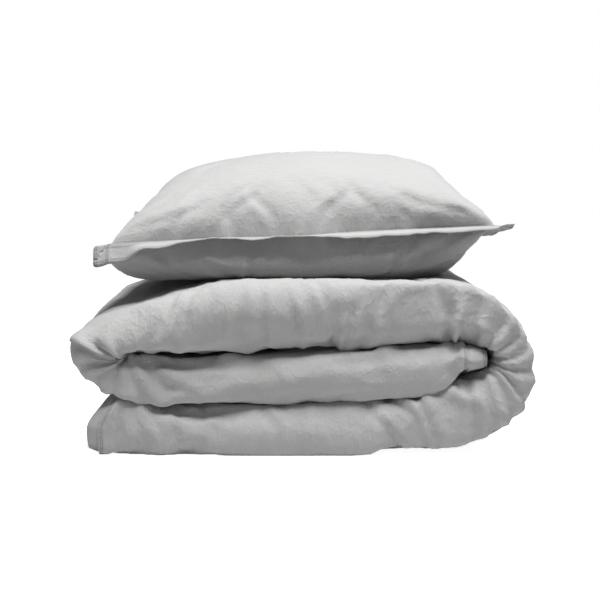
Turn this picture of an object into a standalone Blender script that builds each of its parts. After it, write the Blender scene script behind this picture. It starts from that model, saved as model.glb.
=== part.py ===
"""A folded duvet in its cover, with its pillow lying on top.

Every piece of the duvet is modelled flat, as it is sewn: u runs along its length, v across its width
and w through its thickness. It is sliced where it has to bend, and fold() then folds it, first in half
across the width, with that fold at the front, and then in three along the length. The pillow is made
the same way: a flat slab, sliced into a grid and then plumped.

Metres, +Z up, -Y is the front. The origin is on the surface that the duvet rests on, at the middle.
"""

import math

import bmesh
import bpy
from mathutils import Matrix, Vector

# ---------------------------------------------------------------- the duvet, flat
DUVET_LENGTH = 2.00
DUVET_WIDTH = 1.40
LOFT = 0.042  # thickness of the duvet in its cover
COVER_CLOTH = 0.0010
CASING_CLOTH = 0.0010
SKIN_GAP = 0.0008  # between a cloth and the next one inside it
SEAM_GAP = 0.0005  # from the middle plane to each of two cloths that are sewn together
EDGE_ROLL = 0.022  # how far in from a seam the duvet reaches its full thickness
EDGE_INSET = 0.004  # the insert's seam to the cover's seam
CHANNELS = 7  # lengthwise quilted channels of filling
CHANNEL_GAP = 0.004  # the quilting between two channels
CHANNEL_BEVEL = 0.012
SEAM_FLANGE = 0.018  # flat border outside the cover's seams
FLANGE_THICKNESS = 0.0020

# ---------------------------------------------------------------- how it is folded
HALF_FOLD_GAP = 0.0010  # between the two halves, after the fold across the width
LAYER_GAP = 0.0030  # between the three layers of the stack
BEND_SQUEEZE = 0.33  # share of its thickness that the duvet loses at the middle of the right-hand fold
END_SETBACK = 0.018  # the bottom layer's flange, in from the left-hand fold
TUCK_CLEARANCE = 0.014  # the button band's end to the inside of the right-hand fold

# ---------------------------------------------------------------- the cover's buttoned end
BUTTON_BAND = 0.030
BAND_CLOTH = 0.0012
BUTTONS = 6
BUTTON_RADIUS = 0.0075
BUTTON_THICKNESS = 0.0024
BUTTON_LIFT = 0.0004  # the button's underside to the band
BUTTON_HOLE_RADIUS = 0.0009
BUTTON_HOLE_SPACING = 0.0040
BUTTONHOLE_LENGTH = 0.0160
BUTTONHOLE_WIDTH = 0.0012

# ---------------------------------------------------------------- the pillow
PILLOW_WIDTH = 0.62  # between the seams of the filled case
PILLOW_DEPTH = 0.57
CROWN_ABOVE = 0.112  # the seam plane to the top
CROWN_BELOW = 0.115  # the seam plane to the underside, before it flattens where it rests
CROWN_POWER = 0.62
PILLOW_FLANGE = 0.020
PILLOW_TILT = math.radians(4.5)  # its back edge lies higher than its front edge
PILLOW_SETBACK = 0.015  # the pillow's middle, behind the duvet's middle
SEAM_HEIGHT = 0.094  # the middle of the seam plane, above the duvet's top
REST_GAP = 0.0005
CASE_CLOTH = 0.0006
PILLOW_STEP = CASE_CLOTH + 0.0005  # from one of the pillow's layers to the next one inside it
PILLOW_LAYERS = 3  # inside the case's own panel: the tuck flap, the casing and the filling

# ---------------------------------------------------------------- how finely the pieces are sliced
RIGHT_FOLD_STEPS = 7
LEFT_FOLD_STEPS = 6
HALF_FOLD_STEPS = 6
EDGE_SLICES = (0.14, 0.48, 1.0)  # shares of EDGE_ROLL
PILLOW_SLICES = 12
TUCK_FLAP_SLICES = 4  # of those, so that the flap bends where the panel under it does
BUTTON_SIDES = 16
HOLE_SIDES = 6

# ---------------------------------------------------------------- sizes that follow
HALF_RADIUS = (HALF_FOLD_GAP + LOFT) / 2  # of the half fold, at the middle of the duvet's thickness
LAYER = 2 * LOFT + HALF_FOLD_GAP
PITCH = LAYER + LAYER_GAP
RIGHT_RADIUS = PITCH  # the right-hand fold goes round the middle layer
LEFT_RADIUS = PITCH / 2
FOLDS_LENGTH = math.pi * (RIGHT_RADIUS + LEFT_RADIUS)
LEFT_REACH = LEFT_RADIUS + LAYER / 2
RIGHT_REACH = RIGHT_RADIUS + LAYER / 2
BOTTOM_EXTRA = LEFT_REACH - END_SETBACK - SEAM_FLANGE  # the bottom run, past the top run
INNER_RADIUS = RIGHT_RADIUS - LAYER / 2 * (1 - 2 * BEND_SQUEEZE)  # at the right-hand fold's middle
MIDDLE_EXTRA = INNER_RADIUS - TUCK_CLEARANCE - BUTTON_BAND
TOP_RUN = (DUVET_LENGTH - FOLDS_LENGTH - BOTTOM_EXTRA - MIDDLE_EXTRA) / 3
BOTTOM_RUN = TOP_RUN + BOTTOM_EXTRA
RIGHT_END = BOTTOM_RUN + math.pi * RIGHT_RADIUS
TOP_END = RIGHT_END + TOP_RUN
LEFT_END = TOP_END + math.pi * LEFT_RADIUS

STACK_WIDTH = LEFT_REACH + TOP_RUN + RIGHT_REACH
STACK_HEIGHT = 3 * LAYER + 2 * LAYER_GAP
LEFT_X = LEFT_REACH - STACK_WIDTH / 2
RIGHT_X = LEFT_X + TOP_RUN
BOTTOM_Z = LAYER / 2
MIDDLE_Z = BOTTOM_Z + PITCH
TOP_Z = MIDDLE_Z + PITCH

HALF_ARC = math.pi * HALF_RADIUS / 2  # half of the half fold, along the duvet
FOLDED_DEPTH = HALF_RADIUS + LOFT / 2 + DUVET_WIDTH / 2 - HALF_ARC + SEAM_FLANGE
HALF_FOLD_Y = HALF_RADIUS + LOFT / 2 - FOLDED_DEPTH / 2

PANEL_W = LOFT / 2 - COVER_CLOTH / 2
CASING_W = PANEL_W - COVER_CLOTH / 2 - SKIN_GAP - CASING_CLOTH / 2
FILL_W = CASING_W - CASING_CLOTH / 2 - SKIN_GAP
BAND_W = SEAM_GAP + BAND_CLOTH / 2
PILLOW_REST_Z = STACK_HEIGHT + REST_GAP


def clear_scene():
    for old in list(bpy.data.objects):
        bpy.data.objects.remove(old, do_unlink=True)


def material(name, colour, roughness):
    made = bpy.data.materials.new(name)
    made.use_nodes = True
    shader = made.node_tree.nodes["Principled BSDF"]
    shader.inputs["Base Color"].default_value = (*colour, 1.0)
    shader.inputs["Roughness"].default_value = roughness
    shader.inputs["Metallic"].default_value = 0.0
    return made


def finish(name, bm, surface, collection):
    """Writes the mesh to a new object of that name."""
    bm.normal_update()
    mesh = bpy.data.meshes.new(name)
    bm.to_mesh(mesh)
    bm.free()
    mesh.materials.append(surface)
    mesh.shade_smooth()
    mesh.set_sharp_from_angle(angle=math.radians(40))
    made = bpy.data.objects.new(name, mesh)
    collection.objects.link(made)
    return made


# ---------------------------------------------------------------- folding
def fold(u, v, w):
    """Where a point of the flat duvet lies once it is folded."""
    round_front = max(-HALF_ARC, min(HALF_ARC, v)) / HALF_RADIUS
    out = HALF_RADIUS + w
    y = HALF_FOLD_Y - out * math.cos(round_front) + abs(v) - min(abs(v), HALF_ARC)
    h = out * math.sin(round_front)
    if u < BOTTOM_RUN:
        return Vector((RIGHT_X - BOTTOM_RUN + u, y, BOTTOM_Z + h))
    if u < RIGHT_END:
        turn = (u - BOTTOM_RUN) / RIGHT_RADIUS
        squeeze = BEND_SQUEEZE * math.sin(turn)
        r = RIGHT_RADIUS - h * (1 - squeeze) + squeeze * LAYER / 2
        return Vector((RIGHT_X + r * math.sin(turn), y, MIDDLE_Z - r * math.cos(turn)))
    if u < TOP_END:
        return Vector((RIGHT_X - (u - RIGHT_END), y, TOP_Z - h))
    if u < LEFT_END:
        turn, r = (u - TOP_END) / LEFT_RADIUS, LEFT_RADIUS - h
        return Vector((LEFT_X - r * math.sin(turn), y, TOP_Z - LEFT_RADIUS + r * math.cos(turn)))
    return Vector((LEFT_X + u - LEFT_END, y, MIDDLE_Z + h))


def steps(start, end, count):
    return [start + (end - start) * i / count for i in range(count + 1)]


def length_slices(first, last):
    """The places along the length where a piece that starts at first and ends at last is sliced."""
    ends = [first + share * EDGE_ROLL for share in EDGE_SLICES]
    ends += [last - share * EDGE_ROLL for share in EDGE_SLICES]
    right = steps(BOTTOM_RUN, RIGHT_END, RIGHT_FOLD_STEPS)
    left = steps(TOP_END, LEFT_END, LEFT_FOLD_STEPS)
    return ends + right + left


def width_slices(side):
    ends = [sign * (side - share * EDGE_ROLL) for share in EDGE_SLICES for sign in (-1, 1)]
    return ends + steps(-HALF_ARC, HALF_ARC, HALF_FOLD_STEPS)


def roll(distance):
    """0 at a seam, rising in a quarter ellipse to 1 where the duvet has its full thickness."""
    share = min(1.0, max(0.0, distance / EDGE_ROLL))
    return math.sqrt(1 - (1 - share) ** 2)


def box(low, high):
    """A bmesh box between two corners."""
    low, high = Vector(low), Vector(high)
    size = high - low
    bm = bmesh.new()
    place = Matrix.Translation((low + high) / 2) @ Matrix.Diagonal((*size, 1.0))
    bmesh.ops.create_cube(bm, size=1.0, matrix=place)
    return bm


def slice_across(bm, axis, places):
    """Cuts new edges round the mesh at each place along an axis."""
    direction = Vector([float(axis == i) for i in range(3)])
    low = min(v.co[axis] for v in bm.verts)
    high = max(v.co[axis] for v in bm.verts)
    for place in sorted(places):
        if low + 1e-5 < place < high - 1e-5:
            everything = bm.verts[:] + bm.edges[:] + bm.faces[:]
            bmesh.ops.bisect_plane(
                bm, geom=everything, dist=1e-7, plane_co=direction * place, plane_no=direction
            )


def split_faces(bm):
    """Cuts each face into triangles, with the same diagonals in every piece that is sliced alike."""
    flat = [vert.co.copy() for vert in bm.verts]
    for vert in bm.verts:
        # While the slab leans, one diagonal of each rectangle is the shorter one.
        vert.co.x -= math.copysign(0.2 * abs(vert.co.y), vert.co.x)
    bmesh.ops.triangulate(bm, faces=bm.faces, quad_method="SHORT_EDGE")
    for vert, place in zip(bm.verts, flat):
        vert.co = place


def fold_mesh(bm, thickness_at):
    """Moves each vertex from its flat place (u, v, w) to its folded one."""
    split_faces(bm)
    for vert in bm.verts:
        u, v, w = vert.co
        vert.co = fold(u, v, thickness_at(u, v, w))


# ---------------------------------------------------------------- the duvet's pieces
def duvet_cloth(name, side, middle_w, cloth, inset, surface, collection):
    """One full-size cloth, on the outer (side 1) or inner (side -1) face, that rolls in to its seams."""
    first, last, half = inset, DUVET_LENGTH - inset, DUVET_WIDTH / 2 - inset
    seam_w = SEAM_GAP + cloth / 2
    bm = box((first, -half, -cloth / 2), (last, half, cloth / 2))
    slice_across(bm, 0, length_slices(first, last))
    slice_across(bm, 1, width_slices(half))

    def thickness_at(u, v, w):
        rise = roll(min(u - first, last - u)) * roll(half - abs(v))
        return side * (seam_w + (middle_w - seam_w) * rise) + w

    fold_mesh(bm, thickness_at)
    return finish(name, bm, surface, collection)


def fill_channel(name, low_v, high_v, surface, collection):
    """The filling of one channel, as long as the insert."""
    first = EDGE_INSET + CASING_CLOTH + SKIN_GAP
    last = DUVET_LENGTH - first
    bm = box((first, low_v, -FILL_W), (last, high_v, FILL_W))
    lengthwise = [e for e in bm.edges if abs(e.verts[0].co.x - e.verts[1].co.x) > LOFT]
    bmesh.ops.bevel(
        bm, geom=lengthwise, offset=CHANNEL_BEVEL, segments=2, affect="EDGES", profile=0.5, material=-1
    )
    slice_across(bm, 0, length_slices(first, last))
    slice_across(bm, 1, steps(-HALF_ARC, HALF_ARC, HALF_FOLD_STEPS))
    fold_mesh(bm, lambda u, v, w: w * max(0.25, roll(min(u - first, last - u))))
    return finish(name, bm, surface, collection)


def strip(name, low, high, surface, collection):
    """A flat band, such as a flange or a button band, between two corners of the flat duvet."""
    bm = box(low, high)
    slice_across(bm, 0, length_slices(0.0, DUVET_LENGTH)[2 * len(EDGE_SLICES):])
    slice_across(bm, 1, steps(-HALF_ARC, HALF_ARC, HALF_FOLD_STEPS))
    fold_mesh(bm, lambda u, v, w: w)
    return finish(name, bm, surface, collection)


def button_places():
    """The buttons, spread along the band: (v, place of its middle, direction it faces)."""
    u = DUVET_LENGTH + BUTTON_BAND / 2
    spacing = DUVET_WIDTH / BUTTONS
    top_of_band = SEAM_GAP + BAND_CLOTH
    for i in range(BUTTONS):
        v = (i - (BUTTONS - 1) / 2) * spacing
        facing = (fold(u, v, top_of_band + LOFT) - fold(u, v, top_of_band)).normalized()
        middle_w = top_of_band + BUTTON_LIFT + BUTTON_THICKNESS / 2
        yield i, v, fold(u, v, middle_w), facing


def cutter(name, bm, place, turn, cutters):
    mesh = bpy.data.meshes.new(name)
    bm.to_mesh(mesh)
    bm.free()
    made = bpy.data.objects.new(name, mesh)
    made.location = place
    made.rotation_euler = turn
    made.hide_render = True
    made.display_type = "WIRE"
    cutters.objects.link(made)
    return made


def subtract(made, tool):
    cut = made.modifiers.new("cut " + tool.name, "BOOLEAN")
    cut.operation = "DIFFERENCE"
    cut.object = tool


def cylinder(radius, depth, sides):
    bm = bmesh.new()
    bmesh.ops.create_cone(
        bm, cap_ends=True, segments=sides, radius1=radius, radius2=radius, depth=depth
    )
    return bm


def make_buttons(surface, collection, cutters, outer_band):
    """Four-hole buttons on the band, and the buttonhole that each one comes through."""
    for i, _, place, facing in button_places():
        turn = facing.to_track_quat("Z", "Y").to_euler()
        bm = cylinder(BUTTON_RADIUS, BUTTON_THICKNESS, BUTTON_SIDES)
        button = finish(f"closure_button_{i + 1}", bm, surface, collection)
        button.location = place
        button.rotation_euler = turn
        matrix = Matrix.LocRotScale(place, turn, None)
        for across in (-1, 1):
            for along in (-1, 1):
                offset = Vector((across, along, 0)) * BUTTON_HOLE_SPACING / 2
                hole = cylinder(BUTTON_HOLE_RADIUS, 3 * BUTTON_THICKNESS, HOLE_SIDES)
                name = f"button_{i + 1}_hole_{across}_{along}"
                subtract(button, cutter(name, hole, matrix @ offset, turn, cutters))
        # The cutter crosses the outer band only, and lies along the cover's length.
        slot = box(
            (-BUTTONHOLE_LENGTH / 2, -BUTTONHOLE_WIDTH / 2, -BAND_CLOTH),
            (BUTTONHOLE_LENGTH / 2, BUTTONHOLE_WIDTH / 2, BAND_CLOTH),
        )
        down = BUTTON_LIFT + BUTTON_THICKNESS / 2 + BAND_CLOTH / 2
        square = Vector((0, 0, 1)).rotation_difference(facing) if facing.z > -0.99 else None
        slot_turn = square.to_euler() if square else Matrix.Rotation(math.pi, 4, "X").to_euler()
        name = f"buttonhole_{i + 1}"
        subtract(outer_band, cutter(name, slot, place - facing * down, slot_turn, cutters))


def make_duvet(cover, casing, filling, plastic, collection, cutters):
    duvet_cloth("cover_outer_panel", 1, PANEL_W, COVER_CLOTH, 0.0, cover, collection)
    duvet_cloth("cover_inner_panel", -1, PANEL_W, COVER_CLOTH, 0.0, cover, collection)
    duvet_cloth("insert_casing_outer", 1, CASING_W, CASING_CLOTH, EDGE_INSET, casing, collection)
    duvet_cloth("insert_casing_inner", -1, CASING_W, CASING_CLOTH, EDGE_INSET, casing, collection)

    usable = DUVET_WIDTH - 2 * (EDGE_INSET + CASING_CLOTH + SKIN_GAP + EDGE_ROLL / 2)
    pitch = usable / CHANNELS
    for i in range(CHANNELS):
        low = -usable / 2 + i * pitch + CHANNEL_GAP / 2
        name = f"fill_channel_{i + 1}"
        fill_channel(name, low, low + pitch - CHANNEL_GAP, filling, collection)

    half, edge = FLANGE_THICKNESS / 2, DUVET_WIDTH / 2 + SEAM_GAP
    far = edge + SEAM_FLANGE - SEAM_GAP
    strip("cover_flange_lower_side", (0, -far, -half), (DUVET_LENGTH, -edge, half), cover, collection)
    strip("cover_flange_upper_side", (0, edge, -half), (DUVET_LENGTH, far, half), cover, collection)
    side = DUVET_WIDTH / 2
    strip(
        "cover_flange_end", (-SEAM_FLANGE, -side, -half), (-SEAM_GAP, side, half), cover, collection
    )

    band_start, band_end = DUVET_LENGTH + SEAM_GAP, DUVET_LENGTH + BUTTON_BAND
    low_w, high_w = SEAM_GAP, SEAM_GAP + BAND_CLOTH
    outer = strip(
        "closure_buttonhole_band", (band_start, -side, low_w), (band_end, side, high_w), cover, collection
    )
    strip(
        "closure_button_band", (band_start, -side, -high_w), (band_end, side, -low_w), cover, collection
    )
    make_buttons(plastic, collection, cutters, outer)


# ---------------------------------------------------------------- the pillow's pieces
def seam_plane(y):
    """The height of the pillow's seam, which lies on a plane that rises towards the back."""
    return STACK_HEIGHT + SEAM_HEIGHT + math.tan(PILLOW_TILT) * (y - PILLOW_SETBACK)


def crown(across, deep):
    """0 at the pillow's seam and 1 at its middle, where across and deep run from -1 to 1."""
    return ((1 - across**2) * (1 - deep**2)) ** CROWN_POWER


def pillow_point(across, deep, side, layer, w=0.0):
    """A place on the upper (side 1) or lower (side -1) face of a layer, and w metres outside it."""
    x = across * (PILLOW_WIDTH / 2 - layer * PILLOW_STEP)
    y = PILLOW_SETBACK + deep * (PILLOW_DEPTH / 2 - layer * PILLOW_STEP)
    rim = SEAM_GAP + (PILLOW_LAYERS - layer) * PILLOW_STEP
    height = rim + (CROWN_ABOVE if side > 0 else CROWN_BELOW) * crown(across, deep)
    z = seam_plane(y) + side * height
    if side < 0:
        z = max(z, PILLOW_REST_Z + CASE_CLOTH + layer * PILLOW_STEP)
    return Vector((x, y, z + side * w))


def pillow_slab(low_across, thickness):
    """A flat slab from low_across to 1 and from -1 to 1, sliced into a grid of triangles."""
    bm = box((low_across, -1, 0), (1, 1, thickness))
    slice_across(bm, 0, steps(-1, 1, PILLOW_SLICES)[1:-1])
    slice_across(bm, 1, steps(-1, 1, PILLOW_SLICES)[1:-1])
    split_faces(bm)
    return bm


def pillow_cloth(name, side, layer, low_across, surface, collection):
    """One cloth of the pillow, from low_across to its right-hand seam."""
    bm = pillow_slab(low_across, CASE_CLOTH)
    for vert in bm.verts:
        across, deep, w = vert.co
        vert.co = pillow_point(across, deep, side, layer, w if side > 0 else CASE_CLOTH - w)
    return finish(name, bm, surface, collection)


def pillow_filling(name, layer, surface, collection):
    bm = pillow_slab(-1, 1)
    for vert in bm.verts:
        across, deep, w = vert.co
        vert.co = pillow_point(across, deep, 1 if w > 0.5 else -1, layer)
    return finish(name, bm, surface, collection)


def pillow_flange(name, low, high, surface, collection):
    """A flat border strip between two corners in plan, on the seam plane."""
    half = FLANGE_THICKNESS / 2
    bm = box((*low, -half), (*high, half))
    for vert in bm.verts:
        vert.co.z += seam_plane(vert.co.y)
    return finish(name, bm, surface, collection)


def make_pillow(cover, casing, filling, collection):
    flap = 1 - 2 * TUCK_FLAP_SLICES / PILLOW_SLICES
    pillow_cloth("pillowcase_top_panel", 1, 0, -1, cover, collection)
    pillow_cloth("pillowcase_bottom_panel", -1, 0, -1, cover, collection)
    pillow_cloth("pillowcase_tuck_flap", -1, 1, flap, cover, collection)
    pillow_cloth("pillow_casing_top", 1, 2, -1, casing, collection)
    pillow_cloth("pillow_casing_bottom", -1, 2, -1, casing, collection)
    pillow_filling("pillow_fill", 3, filling, collection)

    side, front, back = (
        PILLOW_WIDTH / 2 + SEAM_GAP,
        PILLOW_SETBACK - PILLOW_DEPTH / 2 - SEAM_GAP,
        PILLOW_SETBACK + PILLOW_DEPTH / 2 + SEAM_GAP,
    )
    out = side + PILLOW_FLANGE
    strips = {
        "front": ((-out, front - PILLOW_FLANGE), (out, front)),
        "back": ((-out, back), (out, back + PILLOW_FLANGE)),
        "left": ((-out, front + SEAM_GAP), (-side, back - SEAM_GAP)),
        "right": ((side, front + SEAM_GAP), (out, back - SEAM_GAP)),
    }
    for where, (low, high) in strips.items():
        pillow_flange(f"pillowcase_flange_{where}", low, high, cover, collection)


def main():
    clear_scene()
    parts = bpy.data.collections.new("duvet_and_pillow")
    cutters = bpy.data.collections.new("cutters")
    bpy.context.scene.collection.children.link(parts)
    bpy.context.scene.collection.children.link(cutters)

    cover = material("grey_washed_cotton", (0.52, 0.52, 0.515), 0.9)
    casing = material("white_cotton_casing", (0.80, 0.80, 0.78), 0.85)
    filling = material("white_fibre_filling", (0.88, 0.88, 0.86), 0.95)
    plastic = material("pale_grey_button", (0.62, 0.62, 0.60), 0.35)

    make_duvet(cover, casing, filling, plastic, parts, cutters)
    make_pillow(cover, casing, filling, parts)


main()
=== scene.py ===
# %% [markdown]
# # A folded duvet with its pillow
#
# This script makes the looks of a matched set of bed linen: a duvet in a washed-cotton cover, folded in
# half and then in three, and a pillow in a narrow-flanged case that lies on it. The CAD model gives the
# places and sizes. Here the cloth gets its real form: it is laid out as it was folded, blown up a
# little by the filling inside it, and left to crease where there is more cloth than room.

import math

import bmesh
import bpy
import numpy as np
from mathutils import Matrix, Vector, noise


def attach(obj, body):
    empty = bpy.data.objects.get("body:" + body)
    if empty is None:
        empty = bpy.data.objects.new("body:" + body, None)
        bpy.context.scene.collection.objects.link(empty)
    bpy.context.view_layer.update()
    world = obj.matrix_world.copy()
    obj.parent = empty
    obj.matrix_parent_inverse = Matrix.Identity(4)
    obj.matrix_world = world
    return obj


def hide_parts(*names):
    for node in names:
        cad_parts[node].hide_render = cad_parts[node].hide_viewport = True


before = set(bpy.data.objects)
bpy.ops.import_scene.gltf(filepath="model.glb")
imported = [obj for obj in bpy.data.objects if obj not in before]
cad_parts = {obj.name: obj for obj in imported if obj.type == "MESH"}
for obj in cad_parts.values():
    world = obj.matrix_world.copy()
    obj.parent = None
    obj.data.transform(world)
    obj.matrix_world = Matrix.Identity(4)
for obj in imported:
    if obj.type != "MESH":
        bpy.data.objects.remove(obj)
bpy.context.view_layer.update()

# %% [markdown]
# ## The sizes
#
# Every length is in metres, and most are the CAD model's own. The duvet's flat coordinates are u along
# its length, v across its width and w through its thickness.

# %% Sizes of the duvet
DUVET_LENGTH = 2.00
DUVET_WIDTH = 1.40
LOFT = 0.042
HALF_FOLD_GAP = 0.001
LAYER_GAP = 0.003
BEND_SQUEEZE = 0.33
SEAM_FLANGE = 0.018
BUTTON_BAND = 0.030
EDGE_ROLL = 0.022

HALF_RADIUS = (HALF_FOLD_GAP + LOFT) / 2
LAYER = 2 * LOFT + HALF_FOLD_GAP
PITCH = LAYER + LAYER_GAP
RIGHT_RADIUS = PITCH
LEFT_RADIUS = PITCH / 2
LEFT_REACH = LEFT_RADIUS + LAYER / 2
RIGHT_REACH = RIGHT_RADIUS + LAYER / 2
FOLDS_LENGTH = math.pi * (RIGHT_RADIUS + LEFT_RADIUS)
BOTTOM_EXTRA = LEFT_REACH - 0.018 - SEAM_FLANGE
MIDDLE_EXTRA = RIGHT_RADIUS - LAYER / 2 * (1 - 2 * BEND_SQUEEZE) - 0.014 - BUTTON_BAND
TOP_RUN = (DUVET_LENGTH - FOLDS_LENGTH - BOTTOM_EXTRA - MIDDLE_EXTRA) / 3
BOTTOM_RUN = TOP_RUN + BOTTOM_EXTRA
RIGHT_END = BOTTOM_RUN + math.pi * RIGHT_RADIUS
TOP_END = RIGHT_END + TOP_RUN
LEFT_END = TOP_END + math.pi * LEFT_RADIUS
LEFT_X = LEFT_REACH - (LEFT_REACH + TOP_RUN + RIGHT_REACH) / 2
RIGHT_X = LEFT_X + TOP_RUN
BOTTOM_Z = LAYER / 2
MIDDLE_Z = BOTTOM_Z + PITCH
TOP_Z = MIDDLE_Z + PITCH
STACK_HEIGHT = 3 * LAYER + 2 * LAYER_GAP
HALF_ARC = math.pi * HALF_RADIUS / 2
FOLDED_DEPTH = HALF_RADIUS + LOFT / 2 + DUVET_WIDTH / 2 - HALF_ARC + SEAM_FLANGE
HALF_FOLD_Y = HALF_RADIUS + LOFT / 2 - FOLDED_DEPTH / 2
print("stack", round(2 * (RIGHT_X + RIGHT_REACH), 4), round(FOLDED_DEPTH, 4), round(STACK_HEIGHT, 4))

# %% Sizes of the pillow
PILLOW_WIDTH = 0.62
PILLOW_DEPTH = 0.57
PILLOW_SETBACK = 0.015
PILLOW_TILT = math.tan(math.radians(4.5))
SEAM_HEIGHT = 0.094
CROWN_ABOVE = 0.112
CROWN_BELOW = 0.115

# %% [markdown]
# ## Camera, light and floor
#
# The stack is seen straight from the front, from a little above, through a long lens. Linen is
# shown best by one large soft light overhead: it brightens the top of every roll and lets the
# creases under it go dark.


# %% Camera
LOOK_DOWN = 4.4  # degrees


def add_camera():
    data = bpy.data.cameras.new("camera")
    data.lens = 92.0
    data.sensor_width = 36.0
    camera = bpy.data.objects.new("camera", data)
    camera.location = (-0.006, -2.743, 0.43)
    camera.rotation_euler = (math.radians(90 - LOOK_DOWN), 0, 0)
    bpy.context.scene.collection.objects.link(camera)
    bpy.context.scene.camera = camera
    print("camera at", tuple(camera.location))


add_camera()


# %% Lights and floor
STACK_MIDDLE = (0, 0, 0.2)
WORLD_LIGHT, WORLD_SEEN = 0.16, 1.0
FLOOR_LIGHT, FLOOR_SEEN = 0.12, 0.92


def add_area_light(name, place, size, power):
    data = bpy.data.lights.new(name, "AREA")
    data.shape = "RECTANGLE"
    data.size, data.size_y = size
    data.energy = power
    light = bpy.data.objects.new(name, data)
    light.location = place
    light.rotation_euler = (Vector(STACK_MIDDLE) - Vector(place)).to_track_quat("-Z", "Y").to_euler()
    bpy.context.scene.collection.objects.link(light)
    print("light", name, power, "W")


add_area_light("overhead_softbox", (0.15, -0.75, 2.3), (1.4, 1.0), 108)
add_area_light("front_fill", (0.9, -2.9, 1.2), (1.6, 1.6), 6)
add_area_light("back_fill", (1.2, 2.6, 1.5), (1.6, 1.6), 22)


def add_world():
    """A white surround to look at, which itself gives only a little light."""
    world = bpy.data.worlds.new("studio")
    world.use_nodes = True
    nodes, links = world.node_tree.nodes, world.node_tree.links
    seen = nodes.new("ShaderNodeLightPath")
    strength = nodes.new("ShaderNodeMapRange")
    strength.inputs["To Min"].default_value = WORLD_LIGHT
    strength.inputs["To Max"].default_value = WORLD_SEEN
    links.new(seen.outputs["Is Camera Ray"], strength.inputs["Value"])
    background = nodes["Background"]
    background.inputs["Color"].default_value = (1, 1, 1, 1)
    links.new(strength.outputs["Result"], background.inputs["Strength"])
    bpy.context.scene.world = world
    bpy.context.scene.view_settings.view_transform = "Standard"


def add_floor():
    bm = bmesh.new()
    bmesh.ops.create_grid(bm, x_segments=1, y_segments=1, size=6)
    mesh = bpy.data.meshes.new("floor")
    bm.to_mesh(mesh)
    bm.free()
    floor = bpy.data.objects.new("floor", mesh)
    paint = bpy.data.materials.new("white_floor")
    paint.use_nodes = True
    nodes, links = paint.node_tree.nodes, paint.node_tree.links
    shader = nodes["Principled BSDF"]
    shader.inputs["Base Color"].default_value = (0.60, 0.60, 0.60, 1)
    shader.inputs["Roughness"].default_value = 0.9
    seen = nodes.new("ShaderNodeLightPath")
    glow = nodes.new("ShaderNodeMapRange")
    glow.inputs["To Min"].default_value = FLOOR_LIGHT
    glow.inputs["To Max"].default_value = FLOOR_SEEN
    links.new(seen.outputs["Is Camera Ray"], glow.inputs["Value"])
    links.new(glow.outputs["Result"], shader.inputs["Emission Color"])
    shader.inputs["Emission Strength"].default_value = 1.0
    mesh.materials.append(paint)
    bpy.context.scene.collection.objects.link(floor)


add_world()
add_floor()

# %% [markdown]
# ## Shader maths
#
# A material is a graph of nodes. This small class wraps one socket of it, so that a formula on
# patterns can be written as ordinary Python.


# %% The socket class
class Value:
    """A number that changes over the surface: the output socket of a node."""

    def __init__(self, tree, socket):
        self.tree, self.socket = tree, socket

    def _maths(self, operation, first, second):
        node = self.tree.nodes.new("ShaderNodeMath")
        node.operation = operation
        for slot, item in zip(node.inputs, (first, second)):
            if isinstance(item, Value):
                self.tree.links.new(item.socket, slot)
            else:
                slot.default_value = item
        return Value(self.tree, node.outputs[0])

    def __add__(self, other):
        return self._maths("ADD", self, other)

    __radd__ = __add__

    def __sub__(self, other):
        return self._maths("SUBTRACT", self, other)

    def __rsub__(self, other):
        return self._maths("SUBTRACT", other, self)

    def __mul__(self, other):
        return self._maths("MULTIPLY", self, other)

    __rmul__ = __mul__

    def __pow__(self, other):
        return self._maths("POWER", self, other)

    def __abs__(self):
        return self._maths("ABSOLUTE", self, 0.0)

    def less_than(self, limit):
        return self._maths("LESS_THAN", self, limit)

    def part(self):
        return self._maths("FRACT", self, 0.0)


class Finish:
    """A material under construction. node() adds any node: its settings first, and then its inputs."""

    def __init__(self, name):
        self.material = bpy.data.materials.new(name)
        self.material.use_nodes = True
        self.tree = self.material.node_tree
        self.shader = self.tree.nodes["Principled BSDF"]

    def node(self, kind, settings=None, output=0, **inputs):
        made = self.tree.nodes.new(kind)
        for key, item in (settings or {}).items():
            if key == "stops":
                for stop, (place, colour) in zip(made.color_ramp.elements, item):
                    stop.position, stop.color = place, colour
            else:
                setattr(made, key, item)
        for key, item in inputs.items():
            self.feed(made.inputs[key.replace("_", " ")], item)
        return Value(self.tree, made.outputs[output])

    def feed(self, socket, item):
        if isinstance(item, Value):
            self.tree.links.new(item.socket, socket)
        else:
            socket.default_value = item

    def set(self, **inputs):
        for key, item in inputs.items():
            self.feed(self.shader.inputs[key.replace("_", " ")], item)


print("shader helpers ready")

# %% [markdown]
# ## Washed cotton
#
# The cover and the case are a plain weave of cotton, washed until it is matt and soft. Up close it
# shows the crossing threads, with a slub here and there; from further off it shows a fine, dry
# crinkle, and a tone that is never quite even. The threads are two crossed waves on the cloth's own
# flat coordinates, so that they follow it round every fold. The crinkle is noise that is stretched
# along the cloth. Its ridges are painted lighter and its valleys darker, a painted shade that follows
# the bump, and the sewn lines get painted shade in their grooves and a painted highlight on their
# stitches.


# %% The cotton material
STITCH_PITCH = 0.0032
STITCH_SHARE = 0.65
STITCH_THICKNESS = 0.0006
GROOVE_WIDTH = 0.0024


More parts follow.
